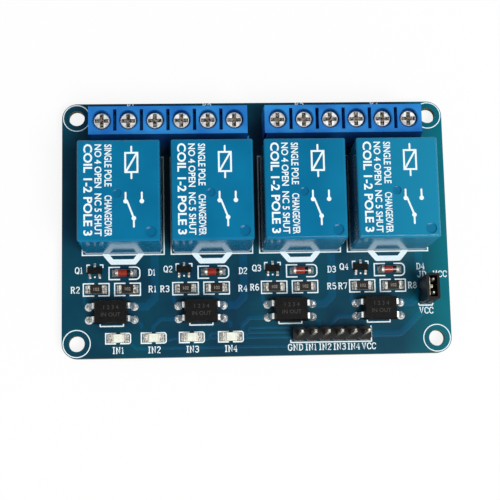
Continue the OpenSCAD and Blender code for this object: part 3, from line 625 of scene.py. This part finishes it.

# %% [markdown]
# ### Copper winding
# The coil is enamelled copper wire. Real turns would take a huge mesh, so the winding is a
# plain ring, and a bump and bands in its colour stand for them: the bands are painted shade
# between the turns and painted highlight on them. The real wire is some 0.08 mm thick; its
# turns are drawn at 0.2 mm so that they show.

# %% Enamelled wire
turn_pitch = 0.2 * mm
wire, tree, shader, place = start_material("enamelled_copper_winding", "#A4552B", 0.3,
                                           metallic=1.0)
turns = add_node(tree, "ShaderNodeTexWave", {"bands_direction": "Z",
                                             "Scale": wave_unit / turn_pitch,
                                             "Distortion": 0.4},
                 {"Vector": place.outputs["Object"]})
# Painted shade and highlight: darker bands between the turns, brighter ones on them.
copper = add_node(tree, "ShaderNodeMix", {"data_type": "RGBA", 6: linear("#7A3616"),
                                          7: linear("#C0703C")}, {"Factor": turns.outputs["Fac"]})
bump = add_node(tree, "ShaderNodeBump", {"Strength": 0.8, "Distance": 0.05 * mm},
                {"Height": turns.outputs["Fac"]})
tree.links.new(copper.outputs[2], shader.inputs["Base Color"])
tree.links.new(bump.outputs["Normal"], shader.inputs["Normal"])
give(wire, "relay_coils")

# %% [markdown]
# ## Copper tracks
# The copper tracks lie under the solder mask and lift it a little, and the mask looks
# lighter over them. They could be painted in the board's material, but a piece of its own
# really lifts the surface. Each track is drawn as by hand: a plane is merged to one point,
# the point is extruded along the track's corners, the chain becomes a curve with a round
# section, and that is pressed flat. The tracks of one relay are drawn once and copied.

# %% Draw a flat line through points, and join lines
line_thick = 0.03 * mm


def draw_line(points, width, z, thick=line_thick, detail=3):
    """A flat ribbon of mesh through points on the board, in metres."""
    bpy.ops.object.select_all(action="DESELECT")
    bpy.ops.mesh.primitive_plane_add(size=mm, location=(points[0][0], points[0][1], z))
    bpy.ops.object.transform_apply(location=True)
    bpy.ops.object.mode_set(mode="EDIT")
    bpy.ops.mesh.select_all(action="SELECT")
    bpy.ops.mesh.merge(type="CENTER")
    for start, end in zip(points, points[1:]):
        step = (end[0] - start[0], end[1] - start[1], 0)
        bpy.ops.mesh.extrude_region_move(TRANSFORM_OT_translate={"value": step})
    bpy.ops.object.mode_set(mode="OBJECT")
    bpy.ops.object.convert(target="CURVE")
    line = bpy.context.object
    line.data.bevel_depth = width / 2
    line.data.bevel_resolution = detail
    line.data.use_fill_caps = True
    bpy.ops.object.convert(target="MESH")
    bpy.ops.object.mode_set(mode="EDIT")
    bpy.ops.mesh.select_all(action="SELECT")
    bpy.ops.transform.resize(value=(1, 1, thick / width), center_override=(0, 0, z))
    bpy.ops.object.mode_set(mode="OBJECT")
    return bpy.context.object


def join(pieces):
    """Joins several meshes into one."""
    bpy.ops.object.select_all(action="DESELECT")
    for piece in pieces:
        piece.select_set(True)
    bpy.context.view_layer.objects.active = pieces[0]
    bpy.ops.object.join()
    return bpy.context.object


print("lines are", round(line_thick / mm, 3), "mm thick")

# %% Finish a piece, and repeat it at every relay
def finish_piece(piece, name, material):
    """Names a piece, gives it its finish, and lets it ride on the board."""
    piece.name = name
    piece.data.name = name
    piece.data.materials.clear()
    piece.data.materials.append(material)
    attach(piece, "board")


def moved_copy(piece, x, y):
    """A copy with its own mesh, shifted inside the mesh."""
    twin = piece.copy()
    twin.data = piece.data.copy()
    bpy.context.collection.objects.link(twin)
    for vertex in twin.data.vertices:
        vertex.co.x += x
        vertex.co.y += y
    return twin


def repeat_at_relays(piece, name, material):
    """Finishes a piece that was drawn for the first relay, and copies it to the others."""
    finish_piece(piece, f"{name}_1", material)
    for n in (2, 3, 4):
        twin = moved_copy(piece, relay_middles[n - 1][0] - relay_middles[0][0], 0)
        finish_piece(twin, f"{name}_{n}", material)
    print(piece.name, "repeated at", n, "relays")


print("relays are", round(relay_pitch / mm, 2), "mm apart")

# %% The tracks of one relay, copied for the others
track_mask, tree, shader, place, blue = solder_mask("blue_solder_mask_over_copper", "#04405F",
                                                    "#037B8C")
tree.links.new(blue.outputs[2], shader.inputs["Base Color"])
opto = middle("optocoupler_1")
relay = relay_middles[0]
upper_pin, lower_pin = opto[1] + pin_pitch / 2, opto[1] - pin_pitch / 2
right_pin, left_pin = opto[0] + 4.4 * mm, opto[0] - 4.4 * mm
channel_lines = [
    ([(right_pin, upper_pin), (right_pin + 2.4 * mm, upper_pin),
      (right_pin + 4.0 * mm, upper_pin + 1.6 * mm), (right_pin + 4.0 * mm, relay[1] - 8.6 * mm)],
     1.6 * mm),
    ([(left_pin, upper_pin), (left_pin - 0.9 * mm, upper_pin + 0.9 * mm),
      (left_pin - 0.9 * mm, upper_pin + 2.6 * mm)], 0.7 * mm),
    ([(left_pin, opto[1] + 4.7 * mm), (left_pin, opto[1] + 7.4 * mm)], 0.6 * mm),
]
track_z = board_top + 0.004 * mm
channel_tracks = join([draw_line(points, width, track_z) for points, width in channel_lines])
repeat_at_relays(channel_tracks, "channel_tracks", track_mask)
print("tracks of one relay:", len(channel_tracks.data.vertices), "vertices")

# %% The long tracks between the lamps, the couplers and the input pins
half_pin = 0.32 * mm
first_pin, pin_row = [corner + half_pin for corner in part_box("header_pins")[0][:2]]
lamp_y = middle("status_leds")[1]
jumper = middle("jumper_cap")
long_lines = []
for n in (2, 3, 4):
    start = relay_middles[n - 1][0] - relay[0] + left_pin
    long_lines.append(([(start, lower_pin), (start - 3.6 * mm, lower_pin),
                        (start - 5.0 * mm, lower_pin - 1.4 * mm),
                        (start - 5.0 * mm, lamp_y + 1.2 * mm)], 0.8 * mm))
    end = relay_middles[n - 2][0] - relay[0] + right_pin
    long_lines.append(([(end, lower_pin), (end + 1.3 * mm, lower_pin - 0.9 * mm),
                        (end + 1.3 * mm, lower_pin - 1.8 * mm)], 0.7 * mm))
for k in range(3):
    lamp_end = (-17.6 + 7.5 * k) * mm
    track_y = lamp_y - (0.2 - 0.95 * k) * mm
    input_pin = first_pin + k * pin_pitch
    long_lines.append(([(lamp_end, lamp_y - 0.5 * mm), (lamp_end + 1.0 * mm, track_y),
                        (input_pin - 2.2 * mm, track_y), (input_pin, pin_row)], 0.55 * mm))
long_lines.append(([(first_pin + 5 * pin_pitch, pin_row), (jumper[0] - 5.6 * mm, pin_row),
                    (jumper[0] - 4.9 * mm, pin_row + 0.3 * mm),
                    (jumper[0] - 0.9 * mm, jumper[1] - 4.1 * mm),
                    (jumper[0] - 0.1 * mm, jumper[1] - 2.9 * mm),
                    (jumper[0], jumper[1] - 1.2 * mm)], 1.3 * mm))
long_lines.append(([(-24.6 * mm, lamp_y - 1.2 * mm), (-23.8 * mm, lamp_y - 2.0 * mm),
                    (first_pin - 2.0 * mm, lamp_y - 2.0 * mm), (first_pin, pin_row)], 0.6 * mm))
long_tracks = join([draw_line(points, width, track_z) for points, width in long_lines])
finish_piece(long_tracks, "long_tracks", track_mask)
print("long tracks:", len(long_lines))

# %% [markdown]
# ### The soldered side
# The heavy currents run on the soldered side: three wide tracks lead from each relay's
# contacts to its three terminals. A thinner one feeds one end of its coil from the supply
# rail; the other end is switched by the transistor on the component side.

# %% Wide tracks under the board
pole = [middle(f"terminal_screw_{n}") for n in range(1, 13)]
leg_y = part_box("terminal_pins")[0][1] + 0.25 * mm
contact_y = relay[1] + 7.1 * mm
common_y = relay[1] - 7.2 * mm
coil_y = relay[1] - 5.1 * mm
coil_rail = opto[1] + 3.6 * mm
under_z = board_low[2] - 0.004 * mm
wide, narrow = 2.4 * mm, 0.9 * mm


def under_lines(relay_x, poles):
    """The tracks from one relay's pins to its terminals, as points and widths."""
    left_x, right_x = relay_x - 6 * mm, relay_x + 6 * mm
    return [
        ([(left_x, contact_y), (left_x, contact_y + 1.6 * mm), (poles[0][0], leg_y - 1.2 * mm),
          (poles[0][0], leg_y)], wide),
        ([(right_x, contact_y), (right_x, contact_y + 1.6 * mm), (poles[2][0], leg_y - 1.2 * mm),
          (poles[2][0], leg_y)], wide),
        ([(relay_x, common_y), (relay_x, contact_y - 1.0 * mm),
          (poles[1][0], contact_y + 1.2 * mm), (poles[1][0], leg_y)], wide),
        ([(right_x, coil_y), (right_x, coil_rail)], narrow),
    ]


for n in range(4):
    lines = under_lines(relay_middles[n][0], pole[3 * n:3 * n + 3])
    tracks = join([draw_line(points, width, under_z) for points, width in lines])
    finish_piece(tracks, f"underside_tracks_{n + 1}", track_mask)
print("underside tracks drawn for", n + 1, "relays")

# %% The two supply rails under the board
supply_width = 1.4 * mm
left_end = relay[0] - 6 * mm
input_rail = opto[1] - 3.4 * mm
supply_lines = [
    [(left_end, coil_rail), (jumper[0] - 2.0 * mm, coil_rail),
     (jumper[0], jumper[1] + pin_pitch / 2)],
    [(left_end, input_rail), (jumper[0] - 2.0 * mm, input_rail),
     (jumper[0], input_rail + 1.4 * mm), (jumper[0], jumper[1] - pin_pitch / 2)],
]
supply_tracks = join([draw_line(points, supply_width, under_z) for points in supply_lines])
finish_piece(supply_tracks, "underside_supply_tracks", track_mask)
print("supply rails:", len(supply_lines))

# %% [markdown]
# ## Printed words
# The words beside the parts only name them: a letter for the kind of part and a number, or
# the signal on a pin. On the relays' roofs and the chips, Blender's own text is typed at its
# size, made a little bolder and turned into a mesh. A capital fills 0.73 of the text's size.

# %% Type a word in Blender's own letters
half_ink = 0.015 * mm
capital_share = 0.73


def type_word(body, x, y, z, cap_height, turn=0.0, bold=0.03):
    """A flat word of mesh, centred at a point and lying on z, in metres."""
    bpy.ops.object.select_all(action="DESELECT")
    bpy.ops.object.text_add(location=(x, y, z + half_ink), rotation=(0, 0, turn))
    word = bpy.context.object
    word.data.body = body
    word.data.size = cap_height / capital_share
    word.data.offset = bold * cap_height
    word.data.extrude = half_ink
    word.data.resolution_u = 3
    word.data.align_x = "CENTER"
    word.data.align_y = "CENTER"
    bpy.ops.object.convert(target="MESH")
    bpy.ops.object.transform_apply(location=True, rotation=True, scale=True)
    return bpy.context.object


print("a capital fills", capital_share, "of the text's size")

# %% [markdown]
# ### Letters with slab feet
# The board's own words are printed in a typewriter-like letter, with slab feet. Blender's
# text has no such letter, so each one is drawn once from lines, as the tracks are, on a grid
# six units high, and copied into every word that needs it.

# %% The lines of each letter
unit = 1.15 * mm / 6
letter_lines = {
    "I": [[(0, 0), (2.2, 0)], [(1.1, 0), (1.1, 6)], [(0, 6), (2.2, 6)]],
    "N": [[(0, 0), (1.4, 0)], [(0.7, 0), (0.7, 6)], [(0, 6), (0.7, 6), (3.7, 0), (3.7, 6)],
          [(3, 6), (4.4, 6)]],
    "G": [[(3.8, 4.2), (3.6, 5.2), (2.9, 6), (1.4, 6), (0.2, 4.6), (0.2, 1.4), (1.4, 0),
           (2.9, 0), (3.8, 0.8), (3.8, 2.6)], [(2.6, 2.6), (4.3, 2.6)]],
    "D": [[(0, 0), (2.4, 0), (3.8, 1.4), (3.8, 4.6), (2.4, 6), (0, 6)], [(0.8, 0), (0.8, 6)]],
    "V": [[(0, 6), (1.4, 6)], [(0.6, 6), (2.2, 0), (3.8, 6)], [(3, 6), (4.4, 6)]],
    "C": [[(3.8, 4.2), (3.6, 5.2), (2.9, 6), (1.4, 6), (0.2, 4.6), (0.2, 1.4), (1.4, 0),
           (2.9, 0), (3.8, 1.4)]],
    "Q": [[(1.4, 0), (0.2, 1.4), (0.2, 4.6), (1.4, 6), (2.6, 6), (3.8, 4.6), (3.8, 1.4),
           (2.6, 0), (1.4, 0)], [(2.2, 1.4), (4, -0.6)]],
    "R": [[(0, 0), (1.5, 0)], [(0.75, 0), (0.75, 6)],
          [(0, 6), (2.8, 6), (3.6, 5.2), (3.6, 4), (2.8, 3.1), (0.75, 3.1)],
          [(2.2, 3.1), (3.6, 0), (4.4, 0)]],
    "J": [[(1.4, 6), (3.4, 6)], [(2.5, 6), (2.5, 1), (1.7, 0), (0.8, 0), (0, 1), (0, 1.8)]],
    "K": [[(0, 0), (1.5, 0)], [(0.75, 0), (0.75, 6)], [(0, 6), (1.5, 6)],
          [(3.6, 6), (0.75, 2.6)], [(1.7, 3.5), (3.6, 0)], [(3, 0), (4.3, 0)]],
    "1": [[(0.3, 5), (1.2, 6), (1.2, 0)], [(0.3, 0), (2.1, 0)]],
    "2": [[(0.2, 4.6), (0.6, 5.6), (1.4, 6), (2.4, 6), (3.2, 5.2), (3.2, 4.2), (0.2, 0),
           (3.4, 0)]],
    "3": [[(0.1, 5.2), (1.2, 6), (2.4, 6), (3.2, 5.2), (3.2, 4), (2.3, 3.2), (1.2, 3.2)],
          [(2.3, 3.2), (3.3, 2.2), (3.3, 1), (2.4, 0), (1.1, 0), (0.1, 0.9)]],
    "4": [[(2.5, 0), (2.5, 6), (0, 1.8), (3.5, 1.8)], [(1.7, 0), (3.3, 0)]],
    "5": [[(3.2, 6), (0.5, 6), (0.3, 3.3), (1.4, 3.7), (2.5, 3.5), (3.3, 2.6), (3.3, 1.1),
           (2.4, 0), (1.1, 0), (0.1, 0.9)]],
    "6": [[(3, 5.4), (2.2, 6), (1.3, 6), (0.2, 4.4), (0.2, 1.2), (1.2, 0), (2.3, 0), (3.2, 1),
           (3.2, 2.4), (2.3, 3.4), (1.2, 3.4), (0.2, 2.4)]],
    "7": [[(0.1, 5.2), (0.1, 6), (3.3, 6), (1.4, 0)]],
    "8": [[(1.7, 3.2), (0.5, 4), (0.5, 5.2), (1.3, 6), (2.1, 6), (2.9, 5.2), (2.9, 4),
           (1.7, 3.2), (0.2, 2.2), (0.2, 1), (1.2, 0), (2.2, 0), (3.2, 1), (3.2, 2.2),
           (1.7, 3.2)]],
}
letter_width = {letter: max(x for line in lines for x, y in line)
                for letter, lines in letter_lines.items()}
print("widest letter:", max(letter_width.values()), "units")

# %% Draw each letter once
stroke, print_z = 0.2 * mm, board_top + 0.016 * mm
letters = {}
for letter, lines in letter_lines.items():
    letters[letter] = join([draw_line([(x * unit, y * unit) for x, y in line], stroke,
                                      print_z, detail=1) for line in lines])
print(len(letters), "letters drawn")

# %% The words on the board and their middles in millimetres
words = [
    ("IN1", -27.2, -23.9), ("IN2", -20.2, -23.9), ("IN3", -12.8, -23.9), ("IN4", -5.3, -23.9),
    ("GND", 7.24, -23.87), ("IN1", 10.3, -23.87), ("IN2", 13.08, -23.87),
    ("IN3", 15.9, -23.87), ("IN4", 18.7, -23.87), ("VCC", 21.66, -23.87),
    ("Q1", -34.8, -8.15), ("Q2", -17.4, -8.1), ("Q3", 0, -8.15), ("Q4", 17.3, -8.1),
    ("D1", -20.6, -8.7), ("D2", -2.7, -8.65), ("D3", 14.8, -8.6), ("D4", 32.5, -8.25),
    ("R2", -35.5, -12), ("R1", -20.5, -12), ("R3", -18.1, -12), ("R4", -2.8, -12.1),
    ("R6", -0.5, -11.95), ("R5", 14.7, -11.95), ("R7", 16.9, -11.95), ("R8", 30.7, -12),
    ("VCC", 33.3, -17.05), ("JD", 32.7, -9.85), ("VCC", 36.3, -9.85),
    ("K1", -24.52, 24.72), ("K2", -9.28, 24.72), ("K3", 9.28, 24.72), ("K4", 24.52, 24.72),
]
letter_gap = 1.1
placed = []
for body, x, y in words:
    pen = -(sum(letter_width[letter] for letter in body) + letter_gap * (len(body) - 1)) / 2
    for letter in body:
        placed.append(moved_copy(letters[letter], x * mm + pen * unit, y * mm - 3 * unit))
        pen += letter_width[letter] + letter_gap
board_words = join(placed)
finish_piece(board_words, "board_words", ink)
for letter in letters.values():
    bpy.data.objects.remove(letter)
print(len(words), "words,", len(board_words.data.polygons), "faces")

# %% [markdown]
# ### The relays' roofs
# A relay's roof names its pins: the coil between 1 and 2, the pole on 3, and the two fixed
# contacts. The lines run along the relay. Each is typed, then stretched to the length that
# it fills on the roof, about its own middle.

# %% The words on one relay, copied to the others
# Each line: its words, its middle from the relay's, its length, its capitals' height (all in
# millimetres) and how bold it is.
columns = [
    ("COIL 1-2 POLE 3", -5.75, 0.1, 17.3, 1.6, 0.035),
    ("NO 4 OPEN  NC 5 SHUT", -3.85, 0.1, 17.3, 1.3, 0.025),
    ("SINGLE POLE", -2.0, 4.7, 8.0, 1.35, 0.025),
    ("CHANGEOVER", -2.0, -4.8, 7.7, 1.35, 0.025),
]
placed = []
for body, x, y, length, cap, bold in columns:
    centre = (relay[0] + x * mm, relay[1] + y * mm, relay_roof)
    word = type_word(body, *centre, cap * mm, -math.pi / 2, bold)
    stretch = length * mm / word.dimensions.y
    bpy.ops.object.mode_set(mode="EDIT")
    bpy.ops.mesh.select_all(action="SELECT")
    bpy.ops.transform.resize(value=(1, stretch, 1), center_override=centre)
    bpy.ops.object.mode_set(mode="OBJECT")
    placed.append(word)
    print(body, "stretched by", round(stretch, 2))
relay_words = join(placed)
repeat_at_relays(relay_words, "relay_words", ink)
print("relay words:", len(relay_words.data.polygons), "faces each")

# %% [markdown]
# ### Marks on the chips
# A chip resistor carries its value as three small digits in pale ink, and each optocoupler
# has its pin numbers faintly burnt into its roof by a laser. Both are typed text too; the
# burnt one lies almost level with the roof, and only its paler, rougher tone shows it.

# %% Pale digits on the resistors
pale, tree, shader, place = start_material("pale_marking_ink", "#857F74", 0.6)
rubbed = add_node(tree, "ShaderNodeTexNoise", {"Scale": 1 / (0.2 * mm)},
                  {"Vector": place.outputs["Object"]})
tone = add_node(tree, "ShaderNodeMix", {"data_type": "RGBA", 6: linear("#5C574E"),
                                        7: linear("#A8A295")}, {"Factor": rubbed.outputs["Fac"]})
tree.links.new(tone.outputs[2], shader.inputs["Base Color"])
chip_low, chip_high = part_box("resistors")
chip_y = (chip_low[1] + chip_high[1]) / 2
chip_x = [chip_low[0] + 1.15 * mm, chip_low[0] + 7.23 * mm]
digits = join([type_word("102", x, chip_y, chip_high[2], 0.62 * mm, 0, 0.02) for x in chip_x])
repeat_at_relays(digits, "resistor_digits", pale)
print("digits at x", [round(x / mm, 2) for x in chip_x])

# %% Pin numbers burnt into the optocouplers
burnt, tree, shader, place = start_material("laser_burnt_epoxy", "#393633", 0.7)
patchy = add_node(tree, "ShaderNodeTexNoise", {"Scale": 1 / (0.15 * mm)},
                  {"Vector": place.outputs["Object"]})
tone = add_node(tree, "ShaderNodeMix", {"data_type": "RGBA", 6: linear("#23201F"),
                                        7: linear("#3B3836")}, {"Factor": patchy.outputs["Fac"]})
tree.links.new(tone.outputs[2], shader.inputs["Base Color"])
burnt_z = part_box("optocoupler_1")[1][2] - 0.012 * mm
lines_of_print = [("1 2 3 4", opto[1] + 0.75 * mm), ("IN OUT", opto[1] - 0.65 * mm)]
numbers = join([type_word(body, opto[0], y, burnt_z, 0.8 * mm, 0, 0.0)
                for body, y in lines_of_print])
repeat_at_relays(numbers, "coupler_numbers", burnt)
print("burnt print at", round(burnt_z / mm, 2), "mm")
